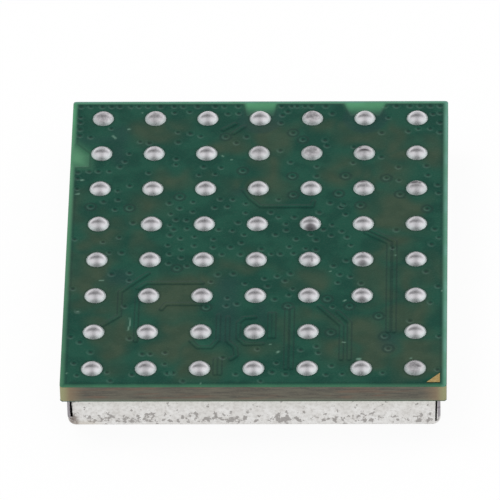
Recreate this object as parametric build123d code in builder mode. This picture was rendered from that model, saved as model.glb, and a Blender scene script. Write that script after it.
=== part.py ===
from build123d import *
import os
from math import asin, atan, cos, degrees, pi, sin

os.makedirs("parts", exist_ok=True)

# A short-range radio module, lying on the lid of its shield can with its solder domes up.
# The origin is the middle of the lid's outer face. X runs along the rows of domes, Y towards
# the back, and Z up from the lid through the board to the domes.

# Grid of solder domes, which sets the board's outline, and its shift towards the front on the board
ball_pitch = 2.0
ball_columns = 7
ball_rows = 8
empty_column = 5
empty_row = 6
side_margin = 1.175
end_margin = 1.0
grid_shift = 0.035

# Solder domes: low caps of a sphere that meet their lands at the wetting angle
ball_radius = 0.42
ball_height = 0.277
ball_sides = 12
ball_tiers = (1.0, 0.6, 0.2)
ball_gap = 0.005

# Board
laminate_thickness = 0.7
corner_cut = 0.07
copper_thickness = 0.03
side_pull_back = 0.16
front_pull_back = 0.12
back_pull_back = 0.17
mask_thickness = 0.02
land_radius = 0.47

# Cut-outs of the outer copper, each wider at the board's edge than at its root
middle_cut_out_column = 3
middle_cut_out_mouth = 1.2
middle_cut_out_root = 1.0
right_cut_out_column = 5
right_cut_out_mouth = 1.65
right_cut_out_root = 1.1
back_cut_out_depth = 0.85
left_cut_out_row = 1
left_cut_out_mouth = 1.45
left_cut_out_root = 0.7
left_cut_out_depth = 0.68

# Index mark in the front right corner
index_leg = 0.5
index_side_inset = 0.25
index_end_inset = 0.215
index_thickness = 0.015
index_gap = 0.055

# Shield can, folded from one sheet
can_inset = 0.235
sheet = 0.1
bend_radius = 0.22
left_slit_mouth = 0.06
left_slit_root = 0.11
left_slit_stop = 0.52
right_slit_mouth = 0.07
right_slit_root = 0.1
right_slit_stop = 0.24
lid_gap = 0.39

# Solder between the board's lands and what stands on them
solder_film = 0.02
solder_toe = 0.06
can_heel = 0.1
window_gap = 0.05

# Clear space between neighbouring components, and the place of the radio chip that they stand around
part_gap = 0.4
radio_x = -1.6
radio_y = 0.4

# Radio, memory and amplifier, in flat packages with pads under their edges
pad_stand_off = 0.05
radio_size = 5.0
radio_height = 0.85
radio_pad_count = 8
radio_pad_pitch = 0.5
radio_centre_pad = 3.2
memory_length = 4.0
memory_width = 3.0
memory_height = 0.6
memory_pad_count = 4
memory_pad_pitch = 0.8
memory_centre_pad = 0.8
amplifier_size = 3.0
amplifier_height = 0.75
amplifier_pad_count = 4
amplifier_pad_pitch = 0.5
amplifier_centre_pad = 1.6
pad_length = 0.4
pad_width = 0.26

# Clock crystal: a ceramic base with a seam-welded lid
crystal_length = 3.2
crystal_width = 2.5
crystal_base_height = 0.5
crystal_lid_height = 0.2
crystal_lid_inset = 0.15
crystal_pad_length = 1.1
crystal_pad_width = 0.9

# Ceramic filter and balun, with terminals plated down their sides
filter_length = 2.0
filter_width = 1.25
filter_height = 0.85
filter_end = 0.3
filter_side_terminal = 0.4
balun_length = 1.6
balun_width = 0.8
balun_height = 0.6
balun_terminal = 0.22
balun_terminal_pitch = 0.52
plating = 0.03

# Voltage regulator with five gull-wing leads
regulator_length = 2.9
regulator_width = 1.6
regulator_height = 1.0
regulator_stand_off = 0.08
regulator_draft = 8
lead_pitch = 0.95
lead_width = 0.38
lead_sheet = 0.13
lead_reach = 0.6
lead_foot = 0.32

# Two-ended chips
capacitor_length = 1.0
capacitor_width = 0.5
capacitor_height = 0.5
capacitor_end = 0.25
bulk_capacitor_length = 2.0
bulk_capacitor_width = 1.25
bulk_capacitor_height = 0.85
bulk_capacitor_end = 0.45
resistor_length = 1.0
resistor_width = 0.5
resistor_height = 0.35
resistor_end = 0.25
inductor_length = 1.0
inductor_width = 0.5
inductor_height = 0.5
inductor_end = 0.2
bead_length = 1.6
bead_width = 0.8
bead_height = 0.8
bead_end = 0.35

# Levels, from the lid up
crystal_height = pad_stand_off + crystal_base_height + crystal_lid_height
tallest_part = max(radio_height, memory_height, amplifier_height, crystal_height, filter_height,
                   balun_height, regulator_height, capacitor_height, bulk_capacitor_height,
                   resistor_height, inductor_height, bead_height)
seat_z = sheet + lid_gap + tallest_part
board_z = seat_z + solder_film + mask_thickness
laminate_top = board_z + laminate_thickness
copper_top = laminate_top + copper_thickness

# Outlines
board_width = (ball_columns - 1) * ball_pitch + 2 * side_margin
board_length = (ball_rows - 1) * ball_pitch + 2 * end_margin
can_width = board_width - 2 * can_inset
can_length = board_length - 2 * can_inset
seam_width = sheet + can_heel
land_outer = (can_width + solder_toe, can_length + solder_toe)
land_inner = (can_width - 2 * seam_width - solder_toe, can_length - 2 * seam_width - solder_toe)
left = -board_width / 2
back = board_length / 2
copper_width = board_width - 2 * side_pull_back
copper_length = board_length - front_pull_back - back_pull_back
copper_middle_y = (front_pull_back - back_pull_back) / 2
with BuildSketch() as board_outline:
    Rectangle(board_width, board_length)
    chamfer(board_outline.vertices(), corner_cut)


def column_x(column):
    return (column - (ball_columns - 1) / 2) * ball_pitch


def row_y(row):
    return ((ball_rows - 1) / 2 - row) * ball_pitch - grid_shift


ball_places = [(column_x(column), row_y(row)) for row in range(ball_rows) for column in range(ball_columns)
               if (column, row) != (empty_column, empty_row)]

# Component places on the board's lower face, as x, y and turn in degrees. Each stands part_gap clear of
# the one before it: columns of chips beside the radio chip, the memory and the supply towards the
# front, the crystal to the right, and the amplifier, filter and balun towards the back.
capacitor_pitch = capacitor_length + part_gap
chip_row_pitch = capacitor_width + part_gap
left_column_x = radio_x - radio_size / 2 - part_gap - capacitor_length / 2
right_column_x = radio_x + radio_size / 2 + part_gap + capacitor_width / 2
back_row_y = radio_y + radio_size / 2 + part_gap + capacitor_width / 2
capacitor_places = ([(left_column_x, radio_y + step * chip_row_pitch, 0) for step in (-2, -1, 0, 1, 2)]
                    + [(right_column_x, radio_y + step * capacitor_pitch, 90) for step in (-1, 0, 1)]
                    + [(radio_x + step * capacitor_pitch, back_row_y, 0) for step in (-1.5, -0.5, 0.5, 1.5)])

memory_x = radio_x - radio_size / 2 + memory_length / 2
memory_y = radio_y - radio_size / 2 - part_gap - memory_width / 2
resistor_x = memory_x - memory_length / 2 - part_gap - resistor_width / 2
resistor_pitch = resistor_length + part_gap
bulk_x = memory_x + memory_length / 2 + part_gap + bulk_capacitor_width / 2
regulator_x = bulk_x + bulk_capacitor_width / 2 + part_gap + regulator_length / 2
regulator_back = memory_y + regulator_width / 2 + lead_reach

crystal_x = right_column_x + capacitor_width / 2 + part_gap + crystal_length / 2
second_bulk_x = crystal_x - crystal_length / 2 + bulk_capacitor_length / 2
second_bulk_y = regulator_back + part_gap + bulk_capacitor_width / 2
bead_x = second_bulk_x + bulk_capacitor_length / 2 + part_gap + bead_width / 2
crystal_y = second_bulk_y + max(bulk_capacitor_width, bead_length) / 2 + part_gap + crystal_width / 2
resistor_row_y = crystal_y + crystal_width / 2 + part_gap + resistor_width / 2

amplifier_y = resistor_row_y + resistor_width / 2 + part_gap + amplifier_size / 2
inductor_x = crystal_x - amplifier_size / 2 - part_gap - inductor_width / 2
inductor_pitch = inductor_length + part_gap
radio_frequency_y = back_row_y + capacitor_width / 2 + part_gap
filter_x = inductor_x - inductor_width / 2 - part_gap - filter_length / 2
balun_x = filter_x - filter_length / 2 - part_gap - balun_length / 2
left_inductor_x = balun_x - balun_length / 2 - part_gap - inductor_length / 2
left_inductor_y = radio_frequency_y + inductor_width / 2

radio_place = (radio_x, radio_y, 0)
memory_place = (memory_x, memory_y, 0)
amplifier_place = (crystal_x, amplifier_y, 0)
crystal_place = (crystal_x, crystal_y, 0)
filter_place = (filter_x, radio_frequency_y + filter_width / 2, 0)
balun_place = (balun_x, radio_frequency_y + balun_width / 2, 0)
regulator_place = (regulator_x, memory_y, 0)
bulk_capacitor_places = [(bulk_x, memory_y, 90), (second_bulk_x, second_bulk_y, 0)]
resistor_places = ([(resistor_x, memory_y + step * resistor_pitch, 90) for step in (-1, 0, 1)]
                   + [(crystal_x + step * resistor_pitch, resistor_row_y, 0) for step in (-0.5, 0.5)])
inductor_places = ([(inductor_x, amplifier_y + step * inductor_pitch, 90) for step in (-0.5, 0.5)]
                   + [(left_inductor_x, left_inductor_y + step * (inductor_width + part_gap), 0)
                      for step in (0, 1)])
bead_places = [(bead_x, second_bulk_y, 90)]

hang = (Align.CENTER, Align.CENTER, Align.MAX)
stand = (Align.CENTER, Align.CENTER, Align.MIN)
solder_pads = []
mask_windows = []


def seat(x, y, turn):
    """A place on the component plane, where packages hang down from the board."""
    return Location((x, y, seat_z), (0, 0, turn))


def spots(places, points):
    """Every point of a component's own frame, at every place of that component on the component plane."""
    return [seat(*place) * Location((x, y, 0)) for place in places for x, y in points]


def solder_at(places, pad_groups):
    """Notes the solder and the mask window of a component. A pad group is (points, length, width)."""
    for points, length, width in pad_groups:
        solder_pads.append((spots(places, points), length + solder_toe, width + solder_toe))
    border = solder_toe + 2 * window_gap
    reach_x = max(2 * abs(x) + length for points, length, width in pad_groups for x, y in points)
    reach_y = max(2 * abs(y) + width for points, length, width in pad_groups for x, y in points)
    mask_windows.append((places, reach_x + border, reach_y + border))


def edge_pads(length, width, count_x, count_y, pitch, centre_pad):
    """Pads of a flat package: a centre pad, rows at its front and back edges, and columns at its sides."""
    steps_x = [(step - (count_x - 1) / 2) * pitch for step in range(count_x)]
    steps_y = [(step - (count_y - 1) / 2) * pitch for step in range(count_y)]
    row_points = [(x, side * (width - pad_length) / 2) for side in (-1, 1) for x in steps_x]
    column_points = [(side * (length - pad_length) / 2, y) for side in (-1, 1) for y in steps_y]
    groups = [([(0, 0)], centre_pad, centre_pad), (row_points, pad_width, pad_length)]
    if column_points:
        groups.append((column_points, pad_length, pad_width))
    return groups


def flat_package(place, length, width, height, pad_groups, name):
    """A moulded body, with its pads standing off its underside."""
    with BuildPart() as body:
        with Locations(seat(*place) * Location((0, 0, -pad_stand_off))):
            Box(length, width, height - pad_stand_off, align=hang)
    with BuildPart() as leads:
        for points, pad_x, pad_y in pad_groups:
            with Locations(*spots([place], points)):
                Box(pad_x, pad_y, pad_stand_off, align=hang)
    solder_at([place], pad_groups)
    body.part.label = name
    export_step(body.part, f"parts/{name}.step")
    leads.part.label = f"{name}_leads"
    export_step(leads.part, f"parts/{name}_leads.step")


def two_ended_chips(places, length, width, height, end, name, ends_name):
    """Ceramic chips with a plated end cap at each end, which stands a little proud of the body."""
    middle = length - 2 * end
    end_points = [(side * (length - end) / 2, 0) for side in (-1, 1)]
    with BuildPart() as bodies:
        with Locations(*[seat(*place) * Location((0, 0, -plating)) for place in places]):
            Box(middle, width - 2 * plating, height - 2 * plating, align=hang)
    with BuildPart() as ends:
        with Locations(*spots(places, end_points)):
            Box(end, width, height, align=hang)
    solder_at(places, [(end_points, end, width)])
    bodies.part.label = name
    export_step(bodies.part, f"parts/{name}.step")
    ends.part.label = ends_name
    export_step(ends.part, f"parts/{ends_name}.step")


# Outer copper of the ball side: pulled back from the edges, cut out around three lands
with BuildSketch() as copper_field:
    with Locations((0, copper_middle_y)):
        Rectangle(copper_width, copper_length)
    for column, mouth, root in ((middle_cut_out_column, middle_cut_out_mouth, middle_cut_out_root),
                                (right_cut_out_column, right_cut_out_mouth, right_cut_out_root)):
        x = column_x(column)
        with BuildLine():
            Polyline((x - mouth / 2, back), (x - root / 2, back - back_cut_out_depth),
                     (x + root / 2, back - back_cut_out_depth), (x + mouth / 2, back), close=True)
        make_face(mode=Mode.SUBTRACT)
        with Locations((x, row_y(0))):
            RegularPolygon(land_radius, ball_sides)
    cut_out_y = row_y(left_cut_out_row)
    cut_out_front = cut_out_y - left_cut_out_mouth / 2
    with BuildLine():
        Polyline((left, cut_out_front), (left + left_cut_out_depth, cut_out_front),
                 (left + left_cut_out_depth, cut_out_front + left_cut_out_root),
                 (left, cut_out_y + left_cut_out_mouth / 2), close=True)
    make_face(mode=Mode.SUBTRACT)
    with Locations((column_x(0), cut_out_y)):
        RegularPolygon(land_radius, ball_sides)

# The plated triangle, with its right angle in the board's front right corner
index_x = board_width / 2 - index_side_inset
index_y = -board_length / 2 + index_end_inset
with BuildSketch() as index_outline:
    with BuildLine():
        Polyline((index_x, index_y), (index_x, index_y + index_leg), (index_x - index_leg, index_y),
                 close=True)
    make_face()

# Laminate with its outer copper pressed on
with BuildPart() as circuit_board:
    with BuildSketch(Plane.XY.offset(board_z)):
        add(board_outline.sketch)
    extrude(amount=laminate_thickness)
    with BuildSketch(Plane.XY.offset(laminate_top)):
        add(copper_field.sketch)
    extrude(amount=copper_thickness)
circuit_board.part.label = "circuit_board"
export_step(circuit_board.part, "parts/circuit_board.step")

# Solder mask of the ball side: it steps up over the copper, and is open at each dome and the index mark
with BuildPart() as ball_side_mask:
    with BuildSketch(Plane.XY.offset(laminate_top)):
        add(board_outline.sketch)
    extrude(amount=mask_thickness)
    with BuildSketch(Plane.XY.offset(laminate_top)):
        add(copper_field.sketch)
        offset(amount=mask_thickness, kind=Kind.INTERSECTION)
    extrude(amount=copper_thickness + mask_thickness)
    with BuildSketch(Plane.XY.offset(laminate_top)):
        add(copper_field.sketch)
    extrude(amount=copper_thickness, mode=Mode.SUBTRACT)
    with BuildSketch(Plane.XY.offset(copper_top)):
        with Locations(*ball_places):
            RegularPolygon(ball_radius + ball_gap, ball_sides)
    extrude(amount=mask_thickness, mode=Mode.SUBTRACT)
    with BuildSketch(Plane.XY.offset(copper_top)):
        add(index_outline.sketch)
        offset(amount=index_gap, kind=Kind.INTERSECTION)
    extrude(amount=mask_thickness, mode=Mode.SUBTRACT)
ball_side_mask.part.label = "ball_side_mask"
export_step(ball_side_mask.part, "parts/ball_side_mask.step")

with BuildPart() as index_mark:
    with BuildSketch(Plane.XY.offset(copper_top)):
        add(index_outline.sketch)
    extrude(amount=index_thickness)
index_mark.part.label = "index_mark"
export_step(index_mark.part, "parts/index_mark.step")

# One solder dome: flat-sided rings of a sphere's cap, between set shares of the wetting angle
sphere_radius = (ball_radius**2 + ball_height**2) / (2 * ball_height)
wetting_angle = asin(ball_radius / sphere_radius)
with BuildPart() as solder_dome:
    for lower, upper in zip(ball_tiers, ball_tiers[1:]):
        lower_radius = sphere_radius * sin(lower * wetting_angle)
        upper_radius = sphere_radius * sin(upper * wetting_angle)
        lower_level = sphere_radius * (cos(lower * wetting_angle) - cos(wetting_angle))
        rise = sphere_radius * (cos(upper * wetting_angle) - cos(lower * wetting_angle))
        lean = degrees(atan((lower_radius - upper_radius) * cos(pi / ball_sides) / rise))
        with BuildSketch(Plane.XY.offset(lower_level)):
            RegularPolygon(lower_radius, ball_sides)
        extrude(amount=rise, taper=lean)

with BuildPart() as solder_balls:
    with Locations(*[(x, y, copper_top) for x, y in ball_places]):
        add(solder_dome.part)
solder_balls.part.label = "solder_balls"
export_step(solder_balls.part, "parts/solder_balls.step")

# Shield can: one folded sheet, round along the lid's edges. Its end walls are slit beside the side walls,
# from the foot down towards the lid, and each slit is wider at its root than at its mouth.
with BuildPart() as shield_can:
    with BuildSketch():
        Rectangle(can_width, can_length)
    extrude(amount=seat_z)
    fillet(shield_can.faces().sort_by(Axis.Z)[0].edges(), radius=bend_radius)
    offset(amount=-sheet, openings=shield_can.faces().sort_by(Axis.Z)[-1])
    for side, mouth, root, stop in ((-1, left_slit_mouth, left_slit_root, left_slit_stop),
                                    (1, right_slit_mouth, right_slit_root, right_slit_stop)):
        wall_x = can_width / 2 - sheet
        with BuildSketch(Plane.XZ) as slit:
            with BuildLine():
                Polyline((side * wall_x, stop), (side * wall_x, seat_z), (side * (wall_x - mouth), seat_z),
                         (side * (wall_x - root), stop), close=True)
            make_face()
        extrude(amount=board_length / 2, both=True, mode=Mode.SUBTRACT)
shield_can.part.label = "shield_can"
export_step(shield_can.part, "parts/shield_can.step")

# Plated ring under the can's foot, and the solder film between them
with BuildPart() as can_land:
    with BuildSketch(Plane.XY.offset(board_z - mask_thickness)):
        Rectangle(*land_outer)
        Rectangle(*land_inner, mode=Mode.SUBTRACT)
    extrude(amount=mask_thickness)
can_land.part.label = "can_land"
export_step(can_land.part, "parts/can_land.step")

with BuildPart() as can_solder:
    with BuildSketch(Plane.XY.offset(seat_z)):
        Rectangle(can_width, can_length)
        Rectangle(can_width - 2 * seam_width, can_length - 2 * seam_width, mode=Mode.SUBTRACT)
    extrude(amount=solder_film)
can_solder.part.label = "can_solder"
export_step(can_solder.part, "parts/can_solder.step")

# Integrated circuits
flat_package(radio_place, radio_size, radio_size, radio_height,
             edge_pads(radio_size, radio_size, radio_pad_count, radio_pad_count, radio_pad_pitch,
                       radio_centre_pad), "radio_chip")
flat_package(memory_place, memory_length, memory_width, memory_height,
             edge_pads(memory_length, memory_width, memory_pad_count, 0, memory_pad_pitch,
                       memory_centre_pad), "flash_memory")
flat_package(amplifier_place, amplifier_size, amplifier_size, amplifier_height,
             edge_pads(amplifier_size, amplifier_size, amplifier_pad_count, amplifier_pad_count,
                       amplifier_pad_pitch, amplifier_centre_pad), "power_amplifier")

# Clock crystal
crystal_points = [(side_x * (crystal_length - crystal_pad_length) / 2,
                   side_y * (crystal_width - crystal_pad_width) / 2)
                  for side_x in (-1, 1) for side_y in (-1, 1)]
with BuildPart() as crystal_pads:
    with Locations(*spots([crystal_place], crystal_points)):
        Box(crystal_pad_length, crystal_pad_width, pad_stand_off, align=hang)
solder_at([crystal_place], [(crystal_points, crystal_pad_length, crystal_pad_width)])
crystal_pads.part.label = "crystal_pads"
export_step(crystal_pads.part, "parts/crystal_pads.step")

with BuildPart() as crystal_base:
    with Locations(seat(*crystal_place) * Location((0, 0, -pad_stand_off))):
        Box(crystal_length, crystal_width, crystal_base_height, align=hang)
crystal_base.part.label = "crystal_base"
export_step(crystal_base.part, "parts/crystal_base.step")

with BuildPart() as crystal_lid:
    with Locations(seat(*crystal_place) * Location((0, 0, -pad_stand_off - crystal_base_height))):
        Box(crystal_length - 2 * crystal_lid_inset, crystal_width - 2 * crystal_lid_inset, crystal_lid_height,
            align=hang)
    chamfer(crystal_lid.faces().sort_by(Axis.Z)[0].edges(), crystal_lid_height / 2)
crystal_lid.part.label = "crystal_lid"
export_step(crystal_lid.part, "parts/crystal_lid.step")

# Band filter: end terminals, and a ground terminal down the middle of each side
with BuildPart() as band_filter:
    with Locations(seat(*filter_place)):
        Box(filter_length - 2 * filter_end, filter_width - 2 * plating, filter_height, align=hang)
band_filter.part.label = "band_filter"
export_step(band_filter.part, "parts/band_filter.step")

filter_end_points = [(side * (filter_length - filter_end) / 2, 0) for side in (-1, 1)]
filter_side_points = [(0, side * (filter_width - plating) / 2) for side in (-1, 1)]
filter_terminals = [(filter_end_points, filter_end, filter_width),
                    (filter_side_points, filter_side_terminal, plating)]
with BuildPart() as band_filter_ends:
    for points, terminal_x, terminal_y in filter_terminals:
        with Locations(*spots([filter_place], points)):
            Box(terminal_x, terminal_y, filter_height, align=hang)
solder_at([filter_place], filter_terminals)
band_filter_ends.part.label = "band_filter_ends"
export_step(band_filter_ends.part, "parts/band_filter_ends.step")

# Balun: three terminals down each side
with BuildPart() as balun:
    with Locations(seat(*balun_place)):
        Box(balun_length, balun_width - 2 * plating, balun_height, align=hang)
balun.part.label = "balun"
export_step(balun.part, "parts/balun.step")

balun_points = [(step * balun_terminal_pitch, side * (balun_width - plating) / 2)
                for step in (-1, 0, 1) for side in (-1, 1)]
with BuildPart() as balun_ends:
    with Locations(*spots([balun_place], balun_points)):
        Box(balun_terminal, plating, balun_height, align=hang)
solder_at([balun_place], [(balun_points, balun_terminal, plating)])
balun_ends.part.label = "balun_ends"
export_step(balun_ends.part, "parts/balun_ends.step")

# Voltage regulator: a moulded body whose walls lean in from the level of its leads
lead_level = -(regulator_stand_off + regulator_height) / 2
half_body = (regulator_height - regulator_stand_off) / 2
with BuildPart() as voltage_regulator:
    with BuildSketch(Plane(seat(*regulator_place) * Location((0, 0, lead_level)))):
        Rectangle(regulator_length, regulator_width)
    extrude(amount=half_body, taper=regulator_draft)
    with BuildSketch(Plane(seat(*regulator_place) * Location((0, 0, lead_level)))):
        Rectangle(regulator_length, regulator_width)
    extrude(amount=-half_body, taper=regulator_draft)
voltage_regulator.part.label = "voltage_regulator"
export_step(voltage_regulator.part, "parts/voltage_regulator.step")

# One lead in its YZ outline: out of the body at lead_level, down to the solder, and out along its foot
lead_top = lead_level + lead_sheet / 2
knee = lead_reach - lead_foot
with BuildPart() as gull_wing:
    with BuildSketch(Plane.YZ):
        with BuildLine():
            Polyline((0, lead_top), (knee - lead_sheet, lead_top), (knee, 0), (lead_reach, 0),
                     (lead_reach, -lead_sheet), (knee + lead_sheet, -lead_sheet),
                     (knee, lead_top - lead_sheet), (0, lead_top - lead_sheet), close=True)
        make_face()
    extrude(amount=lead_width / 2, both=True)

lead_places = [(step * lead_pitch, -1) for step in (-1, 0, 1)] + [(step * lead_pitch, 1) for step in (-1, 1)]
with BuildPart() as voltage_regulator_leads:
    for x, side in lead_places:
        turn = 0 if side > 0 else 180
        with Locations(seat(*regulator_place) * Location((x, side * regulator_width / 2, 0), (0, 0, turn))):
            add(gull_wing.part)
foot_points = [(x, side * (regulator_width / 2 + lead_reach - lead_foot / 2)) for x, side in lead_places]
solder_at([regulator_place], [(foot_points, lead_width, lead_foot)])
voltage_regulator_leads.part.label = "voltage_regulator_leads"
export_step(voltage_regulator_leads.part, "parts/voltage_regulator_leads.step")

# Two-ended chips
two_ended_chips(capacitor_places, capacitor_length, capacitor_width, capacitor_height, capacitor_end,
                "capacitors", "capacitor_ends")
two_ended_chips(bulk_capacitor_places, bulk_capacitor_length, bulk_capacitor_width, bulk_capacitor_height,
                bulk_capacitor_end, "bulk_capacitors", "bulk_capacitor_ends")
two_ended_chips(resistor_places, resistor_length, resistor_width, resistor_height, resistor_end,
                "resistors", "resistor_ends")
two_ended_chips(inductor_places, inductor_length, inductor_width, inductor_height, inductor_end,
                "inductors", "inductor_ends")
two_ended_chips(bead_places, bead_length, bead_width, bead_height, bead_end,
                "ferrite_bead", "ferrite_bead_ends")

# Solder under every terminal, from the component plane to the board's lower face
with BuildPart() as component_solder:
    for places, length, width in solder_pads:
        with Locations(*places):
            Box(length, width, board_z - seat_z, align=stand)
component_solder.part.label = "component_solder"
export_step(component_solder.part, "parts/component_solder.step")

# Solder mask of the component side, open under each component and along the can's land
with BuildPart() as part_side_mask:
    with BuildSketch(Plane.XY.offset(board_z - mask_thickness)):
        add(board_outline.sketch)
        Rectangle(*land_outer, mode=Mode.SUBTRACT)
        Rectangle(*land_inner)
        for places, length, width in mask_windows:
            with Locations(*[Location((x, y), turn) for x, y, turn in places]):
                Rectangle(length, width, mode=Mode.SUBTRACT)
    extrude(amount=mask_thickness)
part_side_mask.part.label = "part_side_mask"
export_step(part_side_mask.part, "parts/part_side_mask.step")
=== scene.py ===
import math

import bpy
import numpy as np
from mathutils import Matrix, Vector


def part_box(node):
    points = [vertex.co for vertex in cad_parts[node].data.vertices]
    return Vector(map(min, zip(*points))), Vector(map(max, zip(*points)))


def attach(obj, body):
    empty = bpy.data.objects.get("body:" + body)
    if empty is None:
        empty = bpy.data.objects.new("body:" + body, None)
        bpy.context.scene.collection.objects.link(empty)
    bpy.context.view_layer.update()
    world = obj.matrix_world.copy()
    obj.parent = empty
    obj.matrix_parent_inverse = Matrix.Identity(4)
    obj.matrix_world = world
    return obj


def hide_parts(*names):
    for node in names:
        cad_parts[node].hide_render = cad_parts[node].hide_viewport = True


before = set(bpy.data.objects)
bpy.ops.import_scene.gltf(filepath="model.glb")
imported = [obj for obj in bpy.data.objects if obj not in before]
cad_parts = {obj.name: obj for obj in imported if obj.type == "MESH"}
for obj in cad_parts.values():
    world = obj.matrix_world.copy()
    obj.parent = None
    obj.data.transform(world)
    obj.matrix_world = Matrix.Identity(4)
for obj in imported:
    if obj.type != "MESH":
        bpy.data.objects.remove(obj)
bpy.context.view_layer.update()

# A radio module that lies on the lid of its shield can, solder domes up. Lengths are in millimetres,
# with X along the rows of domes and Y towards the back, until a mesh is made. The grid of domes sits a
# little towards the front on the board, and what the board shows is placed from the middle of that grid.
mm = 0.001
boardLow, boardHigh = [np.array(corner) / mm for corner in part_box("circuit_board")]
maskLow, maskHigh = [np.array(corner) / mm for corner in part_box("ball_side_mask")]
domeLow, domeHigh = [np.array(corner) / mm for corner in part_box("solder_balls")]
canHigh = np.array(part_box("shield_can")[1]) / mm
markLow, markHigh = [np.array(corner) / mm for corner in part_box("index_mark")]
laminateTop = maskLow[2]
copperTop = boardHigh[2]
maskTop = maskHigh[2]
halfWidth = maskHigh[0]
halfLength = maskHigh[1]
gridY = (domeLow[1] + domeHigh[1]) / 2

domeGrid = {"pitch": 2.0, "columns": 7, "rows": 8, "emptyColumn": 5, "emptyRow": 6}
columnX = (np.arange(domeGrid["columns"]) - (domeGrid["columns"] - 1) / 2) * domeGrid["pitch"]
rowY = ((domeGrid["rows"] - 1) / 2 - np.arange(domeGrid["rows"])) * domeGrid["pitch"] + gridY
domePlaces = np.array([(x, y) for row, y in enumerate(rowY) for column, x in enumerate(columnX)
                       if (column, row) != (domeGrid["emptyColumn"], domeGrid["emptyRow"])])


# Shapes
def smooth(value, low, high):
    # Zero below low, one above high, and an S curve between them
    share = np.clip((value - low) / (high - low), 0, 1)
    return share * share * (3 - 2 * share)


latticeSize = 128
latticeStart = 40.5


def softNoise(x, y, pitch, seed):
    # Random values on a square lattice of that pitch, blended smoothly between its corners, from 0 to 1
    lattice = np.random.default_rng(seed).random((latticeSize, latticeSize))
    u, v = x / pitch + latticeStart, y / pitch + latticeStart
    i, j = np.floor(u).astype(int), np.floor(v).astype(int)
    s, t = smooth(u - i, 0, 1), smooth(v - j, 0, 1)
    i0, j0, i1, j1 = [index % latticeSize for index in (i, j, i + 1, j + 1)]
    return ((lattice[i0, j0] * (1 - s) + lattice[i1, j0] * s) * (1 - t)
            + (lattice[i0, j1] * (1 - s) + lattice[i1, j1] * s) * t)


def softBoxes(x, y, boxes, soft):
    # One inside the rectangles x0, x1, y0, y1, falling to zero over soft on each side of their outlines
    share = np.zeros(x.shape)
    for x0, x1, y0, y1 in boxes:
        inside = (smooth(x, x0 - soft, x0 + soft) * (1 - smooth(x, x1 - soft, x1 + soft))
                  * smooth(y, y0 - soft, y0 + soft) * (1 - smooth(y, y1 - soft, y1 + soft)))
        share = np.maximum(share, inside)
    return share


def nearest(x, y, places, most):
    # Distance to the nearest of those places, or most where none is that near
    distance = np.full(x.shape, most)
    for placeX, placeY in places:
        distance = np.minimum(distance, np.hypot(x - placeX, y - placeY))
    return distance


def lineDistance(x, y, points):
    # Distance to a broken line: the least of the distances to its straight runs
    distance = np.full(x.shape, 1e3)
    for (ax, ay), (bx, by) in zip(points, points[1:]):
        dx, dy = bx - ax, by - ay
        share = np.clip(((x - ax) * dx + (y - ay) * dy) / (dx * dx + dy * dy), 0, 1)
        distance = np.minimum(distance, np.hypot(x - ax - share * dx, y - ay - share * dy))
    return distance


def insidePolygon(x, y, corners):
    # Signed distance to the sides of a convex outline that runs anticlockwise, positive inside it
    depth = np.full(x.shape, 1e3)
    for (ax, ay), (bx, by) in zip(corners, corners[1:] + corners[:1]):
        run = math.hypot(bx - ax, by - ay)
        depth = np.minimum(depth, ((bx - ax) * (y - ay) - (by - ay) * (x - ax)) / run)
    return depth


def roundCorners(x, y, halfX, halfY, radius):
    # In each corner square of that size, the square rings about its inner point are pulled into circles
    u = np.clip((np.abs(x) - halfX) / radius + 1, 0, 1)
    v = np.clip((np.abs(y) - halfY) / radius + 1, 0, 1)
    pull = np.where((u > 0) & (v > 0), np.maximum(u, v) / np.maximum(np.hypot(u, v), 1e-9), 1.0)
    return x + np.sign(x) * u * (pull - 1) * radius, y + np.sign(y) * v * (pull - 1) * radius


def gridFaces(rows, columns, wrap=False):
    # Quads between neighbouring rows and columns of points that are numbered row by row
    span = columns if wrap else columns - 1
    row, column = np.meshgrid(np.arange(rows - 1), np.arange(span), indexing="ij")
    after = (column + 1) % columns
    return np.stack([row * columns + column, row * columns + after,
                     (row + 1) * columns + after, (row + 1) * columns + column], -1).reshape(-1, 4)


def polarFaces(copies, rings, segments):
    # Faces of round caps: a fan about each centre point, then quads from ring to ring, outwards
    size = 1 + rings * segments
    j = np.arange(segments)
    after = (j + 1) % segments
    fan = np.stack([np.zeros(segments, int), 1 + j, 1 + after], -1)
    ring, segment = np.meshgrid(np.arange(rings - 1), j, indexing="ij")
    following = (segment + 1) % segments
    inner, outer = 1 + ring * segments, 1 + (ring + 1) * segments
    band = np.stack([inner + segment, outer + segment, outer + following, inner + following], -1)
    shift = np.arange(copies)[:, None, None] * size
    return [(fan[None] + shift).reshape(-1, 3), (band.reshape(-1, 4)[None] + shift).reshape(-1, 4)]


def capPoints(places, reach, rise, middle):
    # Points for polarFaces: a centre at each place, at its own height, and rings at that reach and rise
    turn = np.linspace(0, 2 * np.pi, reach.shape[-1], endpoint=False)
    x = places[:, :1, None] + reach * np.cos(turn)
    y = places[:, 1:, None] + reach * np.sin(turn)
    rings = np.stack([x, y, rise + np.zeros(x.shape)], -1).reshape(len(places), -1, 3)
    return np.concatenate([np.concatenate([places, middle[:, None]], 1)[:, None], rings], 1)


def sweptShell(rings):
    # A closed surface through rings of points that run anticlockwise, each joined to the next, with a fan
    # round a middle point at the height of the first ring, and another at that of the last
    around, last = len(rings[0]), (len(rings) - 1) * len(rings[0])
    points = np.concatenate(rings + [np.array([[0, 0, rings[0][0, 2]], [0, 0, rings[-1][0, 2]]])])
    j = np.arange(around)
    after = (j + 1) % around
    under = np.stack([np.full(around, last + around), after, j], -1)
    over = np.stack([np.full(around, last + around + 1), last + j, last + after], -1)
    return points, [gridFaces(len(rings), around, True), under, over]


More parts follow.
